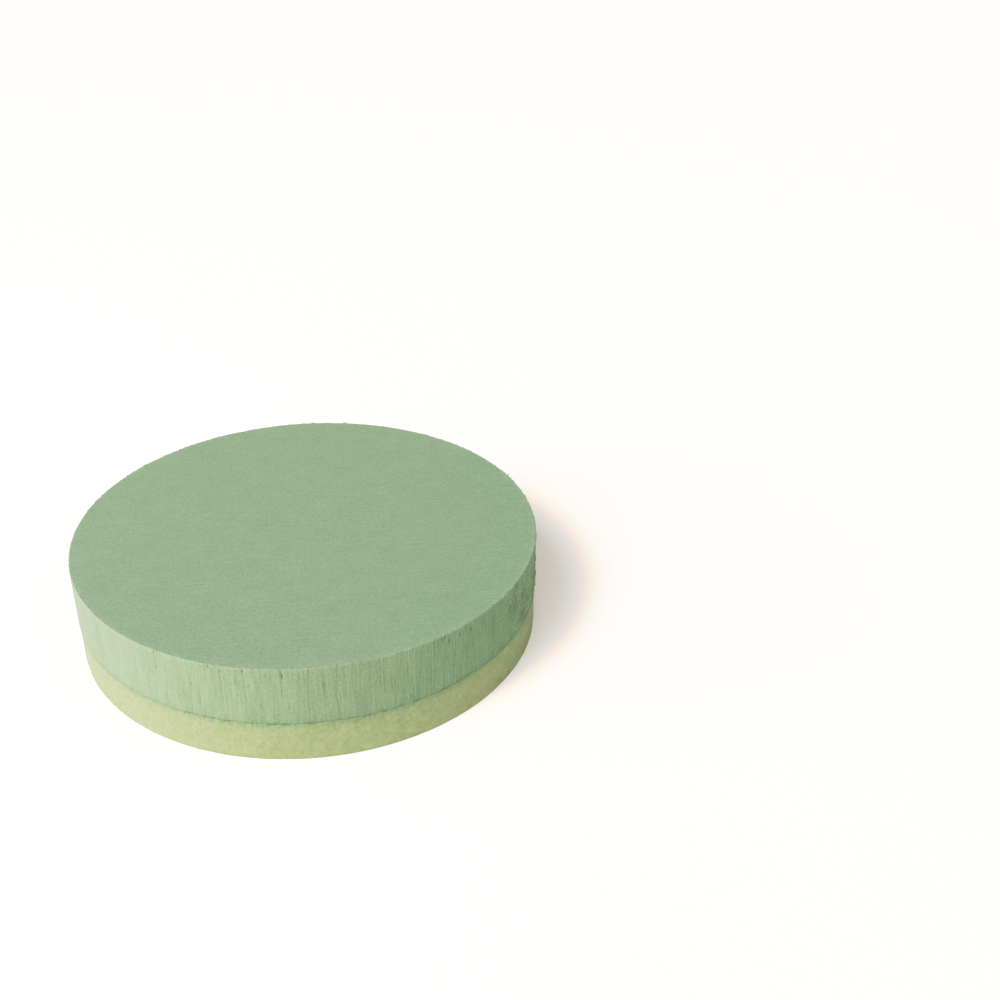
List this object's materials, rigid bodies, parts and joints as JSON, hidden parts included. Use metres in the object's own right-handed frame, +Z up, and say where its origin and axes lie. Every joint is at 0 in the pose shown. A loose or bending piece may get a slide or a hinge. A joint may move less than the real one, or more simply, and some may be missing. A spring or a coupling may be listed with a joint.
{
  "type": "floral foam posy pad",
  "caption": "Round floral foam posy pad: a disc of green wet foam glued on a disc of paler rigid base foam, with a flat top for stems and a flat underside.",
  "frame": {"origin": "centre of the round underside, on the surface the pad stands on", "axes": "+Z up through the pad, from the rigid base to the wet foam; X and Y are alike because the pad is round"},
  "size_m": [0.25, 0.25, 0.055],
  "materials": {
    "wet_floral_foam": "matte",
    "cured_adhesive": "matte",
    "rigid_base_foam": "matte"
  },
  "bodies": {
    "root": {"rigid_base_disc": "rigid_base_foam", "adhesive_film": "cured_adhesive", "wet_foam_disc": "wet_floral_foam"}
  },
  "joints": []
}
